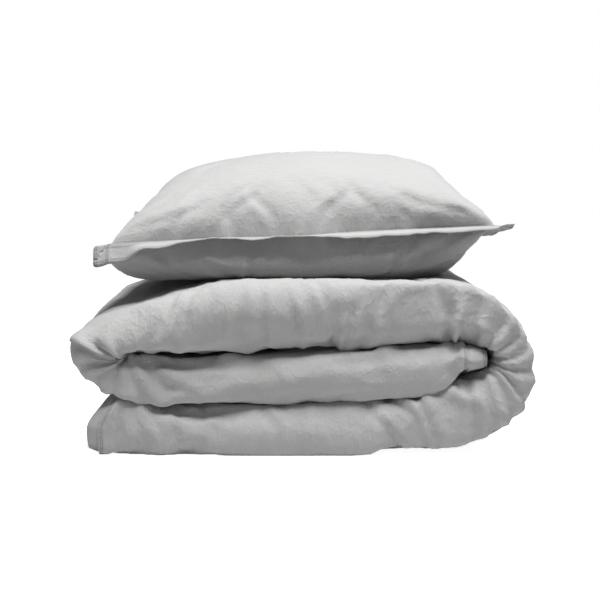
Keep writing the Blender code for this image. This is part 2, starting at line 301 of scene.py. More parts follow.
def cotton(name, tint, crinkle=1.0, threads=1700.0, stitch_rows=()):
    """stitch_rows are sewn lines: (axis, on both sides of the middle or not, distance along it)."""
    made = Finish(name)
    cloth = made.node("ShaderNodeUVMap", {"uv_map": "cloth"})

    def noise_at(scale, detail, stretch=(1, 1, 1)):
        placed = made.node("ShaderNodeMapping", Vector=cloth, Scale=(*stretch,))
        return made.node("ShaderNodeTexNoise", Vector=placed, Scale=scale, Detail=detail)

    def thread(direction):
        settings = {"bands_direction": direction}
        waves = dict(Vector=cloth, Scale=threads / 20, Distortion=0.35, Detail=1.0)
        return made.node("ShaderNodeTexWave", settings, output=1, **waves)

    weave = thread("X") + thread("Y")
    slub = noise_at(90.0, 2.0, (1, 14, 1)) + noise_at(90.0, 2.0, (14, 1, 1))
    folds = 1 - abs(noise_at(46.0, 3.0, (1, 1.5, 1)) * 2 - 1) ** 0.6
    crinkles = 1 - abs(noise_at(120.0, 3.0, (1.3, 1, 1)) * 2 - 1) ** 0.7
    broad = noise_at(7.0, 3.0)
    fleck = noise_at(520.0, 2.0)

    shade = (broad - 0.5) * 0.10 + (slub - 1.0) * 0.04 + (fleck - 0.5) * 0.15
    # Painted shade: the crinkle's fold ridges are made lighter and its valleys darker, following the
    # bump.
    shade = shade + (folds - 0.5) * 0.06 + 1.0
    colour = made.node(
        "ShaderNodeMix", {"data_type": "RGBA", "blend_type": "MULTIPLY"}, output=2, Factor=1.0
    )
    mix = colour.socket.node
    mix.inputs[6].default_value = (*tint, 1)
    height = weave * 0.00003 + slub * 0.00006 + fleck * 0.00030
    height = height + folds * (0.0012 * crinkle) + crinkles * (0.0005 * crinkle)
    along = [made.node("ShaderNodeSeparateXYZ", output=i, Vector=cloth) for i in range(2)]
    for axis, both_sides, where in stitch_rows:
        off = abs((abs(along[axis]) if both_sides else along[axis]) - where)
        stitches = (along[1 - axis] * (1 / STITCH_PITCH)).part().less_than(STITCH_SHARE)
        stitch_thread_and_highlight = off.less_than(STITCH_THICKNESS) * stitches
        groove_and_its_shade = off.less_than(GROOVE_WIDTH)
        # Painted shade darkens the groove where the thread draws the cloth in, and a painted highlight
        # lightens the raised stitch thread; both also move the bump.
        shade = shade - groove_and_its_shade * 0.26 + stitch_thread_and_highlight * 0.26
        height = height - groove_and_its_shade * 0.0005 + stitch_thread_and_highlight * 0.0005
    grey = made.node("ShaderNodeCombineColor", Red=shade, Green=shade, Blue=shade)
    made.feed(mix.inputs[7], grey)
    bump = made.node("ShaderNodeBump", Strength=1.0, Distance=1.0, Height=height)
    made.set(
        Base_Color=colour, Roughness=(fleck - 0.5) * 0.1 + 0.88, Normal=bump, Sheen_Weight=0.18,
        Sheen_Roughness=0.6, Specular_IOR_Level=0.15,
    )
    return made.material


COVER = cotton(
    "washed_cotton_cover", (0.298, 0.298, 0.296), crinkle=1.3,
    stitch_rows=[
        (0, False, 0.005), (0, False, DUVET_LENGTH - 0.005), (1, True, DUVET_WIDTH / 2 - 0.004),
        (0, False, DUVET_LENGTH + BUTTON_BAND - 0.004),
    ],
)
CASE = cotton(
    "washed_cotton_pillowcase", (0.285, 0.285, 0.283), crinkle=0.8,
    stitch_rows=[
        (axis, True, edge + out)
        for axis, edge in enumerate((PILLOW_WIDTH / 2, PILLOW_DEPTH / 2))
        for out in (0.003, 0.0215)
    ],
)
CASING = cotton("dense_white_casing", (0.78, 0.78, 0.76), crinkle=0.3, threads=2400.0)
print("cottons made")

# %% [markdown]
# ## Buttons
#
# The six buttons are the CAD model's own shapes. Each gets the look of a small moulded button in the
# cover's own grey: satin, with the faint swirl that the resin leaves as it sets.


# %% The button material
def button_resin():
    made = Finish("grey_button_resin")
    place = made.node("ShaderNodeTexCoord", output=3)
    swirl = made.node("ShaderNodeTexNoise", Vector=place, Scale=160.0, Detail=3.0, Distortion=1.5)
    ramp = made.node(
        "ShaderNodeValToRGB", {"stops": [(0.3, (0.40, 0.40, 0.39, 1)), (0.7, (0.52, 0.52, 0.51, 1))]},
        Fac=swirl,
    )
    fine = made.node("ShaderNodeTexNoise", Vector=place, Scale=900.0, Detail=2.0)
    bump = made.node("ShaderNodeBump", Strength=0.2, Distance=0.0004, Height=fine)
    made.set(Base_Color=ramp, Roughness=swirl * 0.15 + 0.27, Normal=bump, Coat_Weight=0.2)
    return made.material


BUTTON = button_resin()
buttons = [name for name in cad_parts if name.startswith("closure_button_") and name[-1].isdigit()]
for name in buttons:
    for material_slot in bpy.data.objects[name].material_slots:
        material_slot.material = BUTTON
print(len(buttons), "buttons finished")

# %% [markdown]
# ## Folding the flat cloth
#
# The duvet is folded in half across its width, with that fold at the front, and then in three along
# its length. fold() says where a point of the flat duvet comes to lie. The stack has also settled:
# the layers are not quite level, and the end of the top layer droops to the left. settle() moves
# any point near the stack accordingly, cloth and helpers alike.


# %% fold and settle
def smooth_step(x, low, high):
    share = np.clip((x - low) / (high - low), 0, 1)
    return share * share * (3 - 2 * share)


def fold(u, v, w, loosen=0.0):
    """Folds flat points. loosen makes both of the stack's folds wider than they are."""
    u, v, w = (np.asarray(x, float) for x in (u, v, w))
    round_front = np.clip(v, -HALF_ARC, HALF_ARC) / HALF_RADIUS
    out = HALF_RADIUS + w
    y = HALF_FOLD_Y - out * np.cos(round_front) + np.abs(v) - np.minimum(np.abs(v), HALF_ARC)
    h = out * np.sin(round_front)
    turn = np.clip((u - BOTTOM_RUN) / RIGHT_RADIUS, 0, math.pi)
    squeeze = BEND_SQUEEZE * np.sin(turn)
    right = RIGHT_RADIUS + loosen - h * (1 - squeeze) + squeeze * LAYER / 2
    back_turn = np.clip((u - TOP_END) / LEFT_RADIUS, 0, math.pi)
    left = LEFT_RADIUS + loosen - h
    x = np.select(
        [u < BOTTOM_RUN, u < RIGHT_END, u < TOP_END, u < LEFT_END],
        [
            RIGHT_X - BOTTOM_RUN + u,
            RIGHT_X + right * np.sin(turn),
            RIGHT_X - (u - RIGHT_END),
            LEFT_X - left * np.sin(back_turn),
        ],
        LEFT_X + u - LEFT_END,
    )
    z = np.select(
        [u < BOTTOM_RUN, u < RIGHT_END, u < TOP_END, u < LEFT_END],
        [
            BOTTOM_Z + h - loosen,
            MIDDLE_Z - right * np.cos(turn),
            TOP_Z - h + loosen,
            TOP_Z - LEFT_RADIUS + left * np.cos(back_turn),
        ],
        MIDDLE_Z + h - loosen,
    )
    return np.stack([x, y, z], axis=1)


BOUNDARIES = [0.0, PITCH - LAYER_GAP / 2, 2 * PITCH - LAYER_GAP / 2, STACK_HEIGHT]
TOP_DROOP = 0.049  # of the top layer's left end, at the front
LESS_AT_THE_BACK = 0.024
MIDDLE_END_PINCH = 0.036
BOTTOM_SLANT = 0.032
BEAK_REACH, BEAK_HEIGHT, BEAK_SPREAD = 0.014, 0.221, 0.028  # the left fold's upper corner
UNDERCUT = 0.020  # below that corner


def settle(points):
    """The real stack isn't level: its layers thin out and droop towards the left."""
    x, z = points[:, 0], points[:, 2]
    front = 1 - smooth_step(points[:, 1], -0.32, -0.25)
    end_pinch = MIDDLE_END_PINCH * front * smooth_step(x, 0.18, 0.27) * (1 - smooth_step(x, 0.29, 0.34))
    low_crease = -0.0065 + 0.042 * x + 0.090 * x * x + 0.022 * smooth_step(-x, 0.22, 0.33)
    high_crease = -0.0105 + 0.046 * x - 0.02 * x * x + 0.011 * smooth_step(-x, 0.18, 0.31)
    high_crease += 0.018 * smooth_step(-x, 0.29, 0.35)
    droop = TOP_DROOP - LESS_AT_THE_BACK * smooth_step(points[:, 1], -0.30, 0.05)
    top = 0.010 - droop * smooth_step(-x, 0.10, 0.34) - 0.004 * smooth_step(x, 0.1, 0.3)
    fade = 1 - smooth_step(x, RIGHT_X - 0.02, RIGHT_X + 0.10)
    lift = 0.021 * smooth_step(x, 0.06, 0.26) - 0.0045 * smooth_step(-x, 0.24, 0.33)
    moves = [lift, low_crease * fade + end_pinch, high_crease * fade, top * (0.2 + 0.8 * fade)]
    shift = moves[0] + 0 * z
    for i in range(3):
        share = np.clip((z - BOUNDARIES[i]) / (BOUNDARIES[i + 1] - BOUNDARIES[i]), 0, 1)
        shift = shift + (moves[i + 1] - moves[i]) * share
    moved = points.copy()
    moved[:, 2] += shift
    slant = smooth_step(z, 0.040, 0.088) * (z < BOUNDARIES[1]) * smooth_step(-x, 0.24, 0.34)
    moved[:, 0] += BOTTOM_SLANT * slant
    on_end = smooth_step(-x, 0.29, 0.35) * (z > BOUNDARIES[1])
    moved[:, 0] += UNDERCUT * on_end * (1 - smooth_step(z, 0.092, 0.140))
    moved[:, 0] -= BEAK_REACH * on_end * np.exp(-(((z - BEAK_HEIGHT) / BEAK_SPREAD) ** 2))
    return moved


print("a corner of the duvet, folded:", fold([0.0], [-0.7], [0.0]).round(3))

# %% [markdown]
# ## Cloth, laid out and blown up
#
# A sheet of cloth starts as a flat grid whose UV map keeps its flat coordinates for the weave. The
# simulation is Blender's Cloth with pressure for the filling. Its springs are longer than the grid's
# own edges by a few hundredths. That spare cloth has to go somewhere, and it goes into creases.


# %% Helpers for cloth
def cloth_grid(name, low, high, step, rows=None):
    """A flat grid of cloth between two corners (u, v), with its UV map in metres.

    rows gives the places of its lines across v, where they aren't to be evenly spaced.
    """
    cells = [max(2, round((high[i] - low[i]) / step)) for i in range(2)]
    if rows is not None:
        cells[1] = len(rows) - 1
    bm = bmesh.new()
    bmesh.ops.create_grid(bm, x_segments=cells[0], y_segments=cells[1], size=0.5)
    uv = bm.loops.layers.uv.new("cloth")
    for vert in bm.verts:
        vert.co.x = low[0] + (vert.co.x + 0.5) * (high[0] - low[0])
        if rows is None:
            vert.co.y = low[1] + (vert.co.y + 0.5) * (high[1] - low[1])
        else:
            vert.co.y = rows[round((vert.co.y + 0.5) * cells[1])]
    for face in bm.faces:
        face.smooth = True
        for loop in face.loops:
            loop[uv].uv = loop.vert.co.xy
    return bm_object(name, bm)


def bm_object(name, bm, *materials):
    mesh = bpy.data.meshes.new(name)
    bm.to_mesh(mesh)
    bm.free()
    for surface in materials:
        mesh.materials.append(surface)
    made = bpy.data.objects.new(name, mesh)
    bpy.context.scene.collection.objects.link(made)
    return made


def points_of(piece):
    got = np.empty(len(piece.data.vertices) * 3)
    piece.data.vertices.foreach_get("co", got)
    return got.reshape(-1, 3)


def move_points(piece, places):
    piece.data.vertices.foreach_set("co", np.asarray(places, float).ravel())
    piece.data.update()


def collider(name, bm, outer=0.001, place=settle):
    """A helper that the cloth can't pass, which is removed when the cloth is done."""
    made = bm_object(name, bm)
    if place:
        move_points(made, place(points_of(made)))
    return as_collider(made, outer)


def as_collider(made, outer=0.001):
    made.modifiers.new("collision", "COLLISION")
    made.collision.thickness_outer = outer
    made.collision.cloth_friction = 8.0
    made.collision.use_culling = True
    return made


def helper_box(low, high, cuts=0):
    bm = bmesh.new()
    bmesh.ops.create_cube(bm, size=1.0)
    if cuts:
        long_edges = [e for e in bm.edges if abs(e.verts[0].co.x - e.verts[1].co.x) > 0.5]
        bmesh.ops.subdivide_edges(bm, edges=long_edges, cuts=cuts, use_grid_fill=True)
    for vert in bm.verts:
        for i in range(3):
            vert.co[i] = low[i] + (vert.co[i] + 0.5) * (high[i] - low[i])
    bmesh.ops.recalc_face_normals(bm, faces=bm.faces)
    return bm


def simulate(piece, frames, pressure, pins, spare, roomy, gravity, bending, colliders, pressed=None):
    """Runs the cloth from where it lies. spare is the least and most share of cloth beyond its need.

    pins, roomy and pressed are weights: what is held, what has the most spare cloth, what is blown up.
    """
    for name, weights in (("pins", pins), ("pressed", pressed), ("roomy", roomy)):
        if weights is None:
            continue
        group = piece.vertex_groups.new(name=name)
        for i in np.nonzero(weights > 0)[0]:
            group.add([int(i)], float(weights[i]), "REPLACE")
    cloth = piece.modifiers.new("cloth", "CLOTH")
    settings = cloth.settings
    settings.shrink_min, settings.shrink_max = -spare[0], -spare[1]
    if roomy is not None:
        settings.vertex_group_shrink = "roomy"
    settings.quality = 5
    settings.mass = 0.3
    settings.tension_stiffness = settings.compression_stiffness = 12.0
    settings.shear_stiffness = 4.0
    settings.bending_stiffness = bending
    settings.tension_damping = settings.compression_damping = 8.0
    settings.air_damping = 3.0
    settings.vertex_group_mass = "pins"
    settings.use_pressure = True
    settings.uniform_pressure_force = pressure
    # A target volume of 0 leaves the volume out of it, so an open sheet is pressed evenly too.
    settings.use_pressure_volume = True
    settings.target_volume = 0.0
    if pressed is not None:
        settings.vertex_group_pressure = "pressed"
    settings.effector_weights.gravity = gravity
    cloth.collision_settings.use_collision = True
    cloth.collision_settings.distance_min = 0.0015
    cloth.collision_settings.collision_quality = 2
    cloth.point_cache.frame_end = frames
    scene = bpy.context.scene
    for number in range(1, frames + 1):
        scene.frame_set(number)
    depsgraph = bpy.context.evaluated_depsgraph_get()
    done = bpy.data.meshes.new_from_object(piece.evaluated_get(depsgraph))
    places = np.empty(len(done.vertices) * 3)
    done.vertices.foreach_get("co", places)
    bpy.data.meshes.remove(done)
    piece.modifiers.clear()
    for tool in colliders:
        bpy.data.objects.remove(tool, do_unlink=True)
    scene.frame_set(1)
    return places.reshape(-1, 3)


def subdivided(piece):
    """Applies one level of subdivision, so that fine creases have points to move."""
    fine = piece.modifiers.new("fine", "SUBSURF")
    fine.levels = fine.render_levels = 1
    depsgraph = bpy.context.evaluated_depsgraph_get()
    mesh = bpy.data.meshes.new_from_object(piece.evaluated_get(depsgraph))
    piece.modifiers.clear()
    piece.data = mesh


def normals_of(piece):
    got = np.empty(len(piece.data.vertices) * 3)
    piece.data.vertex_normals.foreach_get("vector", got)
    return got.reshape(-1, 3)


print("cloth helpers ready")

# %% [markdown]
# ## The outside of the duvet's cover
#
# This is the piece that everyone sees: one panel of cloth, 1.40 by 2.00 m, wrapped round the outside
# of the folded duvet. Thin helpers lie where two layers of the stack touch, so that the cloth above
# and below each of them is pressed flat there and rolls out into a crease at the front.


# %% Lay out the cover
STEP = 0.011
PANEL_W = LOFT / 2 - 0.002


def roll(distance):
    share = np.clip(distance / EDGE_ROLL, 0, 1)
    return np.sqrt(1 - (1 - share) ** 2)


SIDE = DUVET_WIDTH / 2
FINE_ROWS = 0.12
EDGE_ROWS = SIDE - 0.03
HEM_HEIGHT = 0.0165
rows_out = [np.linspace(FINE_ROWS, EDGE_ROWS, 35)[1:], np.linspace(EDGE_ROWS, SIDE, 5)[1:]]
rows_out = np.concatenate(rows_out)
rows = np.concatenate([-rows_out[::-1], np.linspace(-FINE_ROWS, FINE_ROWS, 45), rows_out])


def at_the_fold(v):
    """1 where the half fold holds the buttoned end open, and 0 where it lies flat."""
    return 1 - smooth_step(np.abs(v), 0.045, 0.095)


def outer_height(u, v):
    """The outer panel closes at the sides and the buttons, and stays full at the hem."""
    closing = 1 - (1 - 0.92 * at_the_fold(v)) * (1 - roll(DUVET_LENGTH - u))
    return closing * (HEM_HEIGHT + (PANEL_W - HEM_HEIGHT) * roll(u)) * roll(SIDE - np.abs(v))


cover = cloth_grid("duvet_cover_outside", (0, -SIDE), (DUVET_LENGTH, SIDE), STEP, rows)
flat = points_of(cover)
laid = settle(fold(flat[:, 0], flat[:, 1], outer_height(flat[:, 0], flat[:, 1])))
print("cover grid", len(flat), "points")


# %% Blow up the cover
CORE_W = 0.0135
CORE_INSET = 0.010


def filling_core():
    """The filling's outer surface, which the cover can't sink into."""
    side, end = SIDE - CORE_INSET, DUVET_LENGTH - CORE_INSET
    core = cloth_grid("filling_core", (CORE_INSET, -side), (end, side), 0.020)
    u, v, _ = points_of(core).T
    height = CORE_W * roll(np.minimum(u - CORE_INSET, end - u)) * roll(side - np.abs(v))
    move_points(core, settle(fold(u, v, height)))
    return as_collider(core)


def right_fold_mould():
    """A sleeve round the right fold, which keeps it from growing too wide."""
    bm = bmesh.new()
    bmesh.ops.create_grid(bm, x_segments=24, y_segments=2, size=0.5)
    reach = RIGHT_REACH + 0.008 - 0.5 * BEND_SQUEEZE * LAYER
    for vert in bm.verts:
        angle = math.pi * (1.3 * vert.co.x)
        sideways = (reach + 0.004) * math.cos(angle)
        vert.co = (RIGHT_X + sideways, vert.co.y * 0.8, MIDDLE_Z + 1.02 * RIGHT_REACH * math.sin(angle))
    bmesh.ops.reverse_faces(bm, faces=bm.faces)
    return collider("right_fold_mould", bm)


def stack_helpers():
    """What the cover presses against: the floor, the places where layers touch, and the pillow."""
    front, back = -0.375, 0.36
    tools = [filling_core(), right_fold_mould()]
    for i in (1, 2):
        middle = i * PITCH - LAYER_GAP / 2
        start = -0.34 if i == 1 else LEFT_X - 0.004
        low, high = (start, front, middle - 0.001), (RIGHT_X + 0.004, back, middle + 0.001)
        tools.append(collider(f"between_layers_{i}", helper_box(low, high, cuts=24)))
    tools.append(collider("ground", helper_box((-0.6, -0.6, -0.05), (0.6, 0.6, 0.0)), place=None))
    room = (RIGHT_X + 0.032, front, MIDDLE_Z - 0.020), (RIGHT_X + 0.058, back, MIDDLE_Z + 0.020)
    tools.append(collider("room_in_the_right_fold", helper_box(*room)))
    lid = (-0.42, -0.305, STACK_HEIGHT + 0.003), (0.42, 0.42, STACK_HEIGHT + 0.05)
    tools.append(collider("pillow_weight", helper_box(*lid, cuts=24)))
    return tools


SEED_HEIGHT = 0.005


def uneven(places, scale, seed):
    """Smooth noise from -1 to 1 at each place."""
    shift = Vector((seed * 7.3, seed * 3.1, seed * 1.7))
    return np.array([noise.noise(Vector(p) * scale + shift) for p in places])


move_points(cover, laid)
move_points(cover, laid + normals_of(cover) * (SEED_HEIGHT * uneven(flat, 22.0, 1))[:, None])
edge = np.minimum(SIDE - np.abs(flat[:, 1]), DUVET_LENGTH - flat[:, 0])
edge = np.minimum(edge, flat[:, 0])
pins = np.where(edge < 0.004, 1.0, 0.0)
laid = simulate(
    cover, frames=26, pressure=3.0, pins=pins, spare=(0.035, 0.09), gravity=0.02, bending=0.02,
    roomy=1 - smooth_step(np.abs(flat[:, 1]), 0.13, 0.25), colliders=stack_helpers(),
)
move_points(cover, laid)
subdivided(cover)
print("cover laid,", len(cover.data.polygons), "faces")

# %% [markdown]
# ## Creases in the cover
#
# The cloth's own springs give the broad rolls. The sharper creases run where the cloth is drawn: they
# fan out of the two folds, hang in short notches from the top layer's lower edge, and cross the bottom
# layer slantwise. Each is a stroke on the flat cloth: a valley with a small ridge on one side. A place
# is named as a maker would: which layer or fold, how far along, and how high up its front.


# %% Places on the folded cover
def place_on(part, along, height):
    """Flat coordinates. height is -1 at the bottom and 1 at the top of a layer's front.

    On a fold, along is the angle in degrees, and height is 1 on its outside and -1 on its inside.
    """
    v = HALF_ARC * height
    return {
        "bottom": (BOTTOM_RUN + along - RIGHT_X, v),
        "right fold": (BOTTOM_RUN + RIGHT_RADIUS * math.radians(along), -v),
        "top": (RIGHT_END + RIGHT_X - along, -v),
        "left fold": (TOP_END + LEFT_RADIUS * math.radians(along), -v),
        "middle": (LEFT_END + along - LEFT_X, v),
    }[part]


def stroke(spots, ends, depth, width):
    """How far a crease from one flat place to another moves each spot: down in it, up beside it."""
    start, way = np.array(ends[0]), np.array(ends[1]) - ends[0]
    length = np.linalg.norm(way)
    way = way / length
    off = spots - start
    share = np.clip(off @ way / length, 0, 1)
    aside = off @ np.array([-way[1], way[0]])
    beyond = np.abs(off @ way - share * length)
    fade = np.sin(math.pi * (0.08 + 0.84 * share)) ** 0.7 * np.exp(-((beyond / width) ** 2))
    bend = width * 0.8 * np.sin(share * 5 + start[0] * 40)
    valley = np.exp(-(((aside - bend) / width) ** 2))
    ridge = np.exp(-(((aside - bend - 1.7 * width) / (1.2 * width)) ** 2))
    return depth * fade * (0.75 * ridge - valley)


# %% Crease the cover
CREASES = [
    # part, from (along, height), to (along, height), depth, width; in metres and degrees
    ("top", (-0.004, 1.3), (0.033, -0.5), -0.0035, 0.0050),
    ("top", (-0.070, 0.6), (-0.052, -1.0), 0.0042, 0.0055),
    ("top", (-0.022, 0.4), (-0.008, -1.1), 0.0042, 0.0052),
    ("top", (0.046, -0.2), (0.054, -1.5), 0.0085, 0.0075),
    ("top", (0.082, 0.7), (0.062, -1.2), 0.0044, 0.0055),
    ("top", (0.125, 0.9), (0.088, -0.9), 0.0040, 0.0065),
    ("top", (0.222, 0.1), (0.228, -1.5), 0.0090, 0.0075),
    ("top", (0.195, 1.2), (0.224, -0.6), 0.0040, 0.0070),
    ("top", (0.235, 1.3), (0.229, -0.5), 0.0036, 0.0060),
    ("top", (-0.100, 0.9), (-0.080, -0.9), 0.0028, 0.0080),
    ("top", (-0.150, 1.2), (-0.225, -0.8), 0.0048, 0.0070),
    ("top", (-0.180, 1.5), (-0.252, -0.6), 0.0048, 0.0065),
    ("top", (-0.220, -0.2), (-0.262, -1.1), 0.0040, 0.0065),
    ("left fold", (5, 1.2), (78, -1.0), 0.0060, 0.0050),
    ("left fold", (30, 0.9), (86, -1.1), 0.0065, 0.0044),
    ("left fold", (74, 1.0), (94, -1.1), 0.0085, 0.0046),
    ("left fold", (118, 1.0), (102, -1.1), 0.0070, 0.0046),
    ("left fold", (148, 0.9), (110, -1.1), 0.0060, 0.0048),
    ("left fold", (178, 1.0), (122, -0.9), 0.0055, 0.0060),
    ("middle", (-0.275, 0.6), (-0.215, -0.9), 0.0046, 0.0060),
    ("middle", (-0.255, 0.9), (-0.165, -0.5), 0.0044, 0.0060),
    ("middle", (-0.235, 1.0), (-0.110, 0.3), 0.0038, 0.0058),
    ("middle", (-0.060, 0.8), (-0.030, -0.8), 0.0018, 0.0090),
    ("middle", (0.100, 0.9), (0.125, -0.7), 0.0018, 0.0090),
    ("middle", (0.205, 1.0), (0.240, -0.8), 0.0026, 0.0070),
    ("right fold", (8, 0.9), (30, -0.7), 0.0040, 0.0060),
    ("right fold", (18, 1.3), (52, -0.9), 0.0046, 0.0062),
    ("right fold", (46, 1.2), (60, -1.0), 0.0052, 0.0060),
    ("right fold", (68, 1.2), (72, -1.1), 0.0046, 0.0055),
    ("right fold", (92, 1.1), (84, -1.1), 0.0056, 0.0060),
    ("right fold", (115, 1.2), (98, -1.1), 0.0056, 0.0060),
    ("right fold", (134, 1.1), (108, -1.0), 0.0046, 0.0055),
    ("right fold", (152, 1.2), (120, -1.0), 0.0046, 0.0060),
    ("right fold", (170, 1.0), (138, -1.1), 0.0050, 0.0070),
    ("bottom", (0.095, 0.9), (0.150, -0.9), 0.0046, 0.0058),
    ("bottom", (0.130, 1.1), (0.196, -0.8), 0.0052, 0.0060),
    ("bottom", (0.165, 1.0), (0.215, -0.6), 0.0050, 0.0052),
    ("bottom", (0.190, 1.2), (0.245, 0.1), 0.0050, 0.0075),
    ("bottom", (-0.065, 1.0), (-0.045, -0.3), 0.0022, 0.0070),
    ("bottom", (-0.010, 1.1), (-0.004, -0.6), 0.0020, 0.0065),
    ("bottom", (-0.240, 0.7), (-0.190, -0.6), 0.0022, 0.0085),
]


def crinkled(spots, scale, height, seed):
    """Sharp-edged little folds, as in washed cotton: the ridges of a noise."""
    bend = uneven(np.column_stack([spots, 0 * spots[:, 0]]), scale * 0.4, seed + 5)
    slanted = np.column_stack([spots[:, 0] + 0.35 * spots[:, 1], spots[:, 1] * 0.8, 0.02 * bend])
    return height * (0.35 - np.abs(uneven(slanted, scale, seed)) ** 0.7)


def flat_places(piece):
    """Each vertex's flat place, out of the UV map that the cloth kept."""
    uv = piece.data.uv_layers["cloth"].data
    loops = np.empty(len(piece.data.loops), np.int64)
    piece.data.loops.foreach_get("vertex_index", loops)
    got = np.empty(len(loops) * 2)
    uv.foreach_get("uv", got)
    spots = np.empty((len(piece.data.vertices), 2))
    spots[loops] = got.reshape(-1, 2)
    return spots


DEEPEST = 0.0085
JUST_ABOVE_FLOOR = 0.0003

spots = flat_places(cover)
move = np.zeros(len(spots))
for part, start, end, depth, width in CREASES:
    move += stroke(spots, (place_on(part, *start), place_on(part, *end)), depth, width)
move += crinkled(spots, 30.0, 0.0030, 1) + crinkled(spots, 75.0, 0.0014, 2)
move += crinkled(spots * (1.0, 0.35), 13.0, 0.0030, 4)
hem_pucker = uneven(np.column_stack([spots[:, 0] * 12, spots[:, 1] * 110, 0 * spots[:, 0]]), 1.0, 3)
move += 0.0026 * hem_pucker * (1 - smooth_step(spots[:, 0], 0.002, 0.040))
inner_edge = np.minimum(SIDE - np.abs(spots[:, 1]), np.minimum(spots[:, 0], DUVET_LENGTH - spots[:, 0]))
move *= smooth_step(inner_edge, 0.0, 0.012)
# The two folds' outsides are stretched, so they stay calmer than the front.
outside_folds = smooth_step(-spots[:, 1], 0.024, 0.040)
on_right_fold = smooth_step(spots[:, 0], BOTTOM_RUN - 0.02, BOTTOM_RUN + 0.05) * (
    1 - smooth_step(spots[:, 0], RIGHT_END - 0.05, RIGHT_END + 0.02)
)
on_left_fold = smooth_step(spots[:, 0], TOP_END - 0.06, TOP_END + 0.01) * (
    1 - smooth_step(spots[:, 0], LEFT_END - 0.01, LEFT_END + 0.06)
)
move *= 1 - outside_folds * (0.82 * on_right_fold + 0.6 * on_left_fold)
move = np.maximum(move, -DEEPEST)
places = points_of(cover) + normals_of(cover) * move[:, None]
# The bottom layer's front edge lies down on the floor.
at_floor = smooth_step(-places[:, 1], 0.30, 0.35) * (1 - smooth_step(places[:, 2], 0.010, 0.040))
places[:, 2] -= 0.009 * at_floor * (1 - smooth_step(places[:, 0], 0.05, 0.20))
places[:, 2] = np.maximum(places[:, 2], JUST_ABOVE_FLOOR)
move_points(cover, places)
print("creases up to", round(float(-move.min()) * 1000, 1), "mm deep")

# %% Hand the cover over
cover.data.materials.append(COVER)
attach(cover, "duvet")
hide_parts("cover_outer_panel")
print("cover", len(cover.data.polygons), "faces")

# %% [markdown]
# ## Inside the cover
#
# The inner panel faces itself in the half fold, and shows only at the back. The insert is hidden, but
# it is there: a casing, and seven lengthwise channels of filling that the quilting keeps apart. Each
# is a flat sheet, folded like the cover; the casing and the channels get Solidify for their thickness.


# %% The inner panel and the insert
def folded_slab(name, low, high, w, thickness, step, surface, node_names):
    """A sheet that is folded with the duvet, w above its middle plane, and thickened if asked."""
    slab = cloth_grid(name, low, high, step)
    u, v, _ = points_of(slab).T
    move_points(slab, settle(fold(u, v, w(u, v) if callable(w) else w + 0 * u)))
    if thickness:
        wall = slab.modifiers.new("thickness", "SOLIDIFY")
        wall.thickness = thickness
        wall.offset = 0
    slab.data.materials.append(surface)
    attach(slab, "duvet")
    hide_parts(*node_names)
    return slab


def inner_height(u, v):
    """The inner panel lies against itself, and climbs to meet the hem at that end."""
    sides = roll(SIDE - np.abs(v))
    full = -(LOFT / 2 - 0.001) * roll(DUVET_LENGTH - u)
    return sides * (full + (HEM_HEIGHT - 0.004 - full) * (1 - roll(u)))


inside = folded_slab(
    "duvet_cover_inside", (0, -SIDE), (DUVET_LENGTH, SIDE), inner_height, 0, 0.02, COVER,
    ["cover_inner_panel"],
)
casing = folded_slab(
    "duvet_casing", (0.02, 0.02 - SIDE), (DUVET_LENGTH - 0.02, SIDE - 0.02), 0, 0.014, 0.03, CASING,
    ["insert_casing_outer", "insert_casing_inner"],
)
CHANNELS, FILLING_INSET, QUILTED = 7, 0.04, 0.004
CHANNEL = (DUVET_WIDTH - 2 * FILLING_INSET) / CHANNELS
for i in range(CHANNELS):
    start = FILLING_INSET - SIDE + i * CHANNEL
    low = (FILLING_INSET, start + QUILTED)
    high = (DUVET_LENGTH - FILLING_INSET, start + CHANNEL - QUILTED)
    filling = folded_slab(
        f"filling_channel_{i + 1}", low, high, 0, 0.010, 0.05, CASING, [f"fill_channel_{i + 1}"],
    )
print("inside made")

# %% [markdown]
# ## Borders, hem and button bands
#
# Outside its seams the cover has a flat border of doubled cloth. Where the hem is sewn, the thread
# draws the cloth up into small puckers across it. The two bands at the open end are faced strips of
# the same cloth, one with the buttons and one with the buttonholes.


# %% Borders of the duvet's cover
STRIP_STEP = 0.005


def puckered_strip(name, low, high, lift, node, along=(75, 30)):
    """A border or band of the cover. along says how many puckers there are in a metre of u and of v."""
    strip = cloth_grid(name, low, high, STRIP_STEP)
    u, v, _ = points_of(strip).T
    ripple = 0.0012 * uneven(np.stack([u * along[0], v * along[1], 0 * u], axis=1), 1.0, 4)
    places = settle(fold(u, v, lift(u, v) + ripple))
    places[:, 2] = np.maximum(places[:, 2], 0.0012)
    move_points(strip, places)
    wall = strip.modifiers.new("doubled_cloth", "SOLIDIFY")
    wall.thickness = 0.0018
    wall.offset = 0
    strip.data.materials.append(COVER)
    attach(strip, "duvet")
    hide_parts(node)


def in_the_middle(u, v):
    return 0


def hem_lift(u, v):
    return (HEM_HEIGHT + 0.35 * u) * roll(SIDE - np.abs(v))


lower, upper = (0, -SIDE - SEAM_FLANGE), (DUVET_LENGTH, SIDE + SEAM_FLANGE)
puckered_strip(
    "cover_border_lower", lower, (DUVET_LENGTH, -SIDE), in_the_middle, "cover_flange_lower_side"
)
puckered_strip("cover_border_upper", (0, SIDE), upper, in_the_middle, "cover_flange_upper_side")
puckered_strip(
    "cover_end_hem", (-SEAM_FLANGE, -SIDE), (0, SIDE), hem_lift, "cover_flange_end", along=(20, 110)
)
BAND_TAPER = 0.015


def band_lift(closed, opened):
    """A band lies closed, except at the fold, where it stands open and tapers into the stack."""

    def lift(u, v):
        taper = BAND_TAPER * ((u - DUVET_LENGTH) / BUTTON_BAND) ** 1.3
        return closed + (opened - closed - taper) * at_the_fold(v)

    return lift


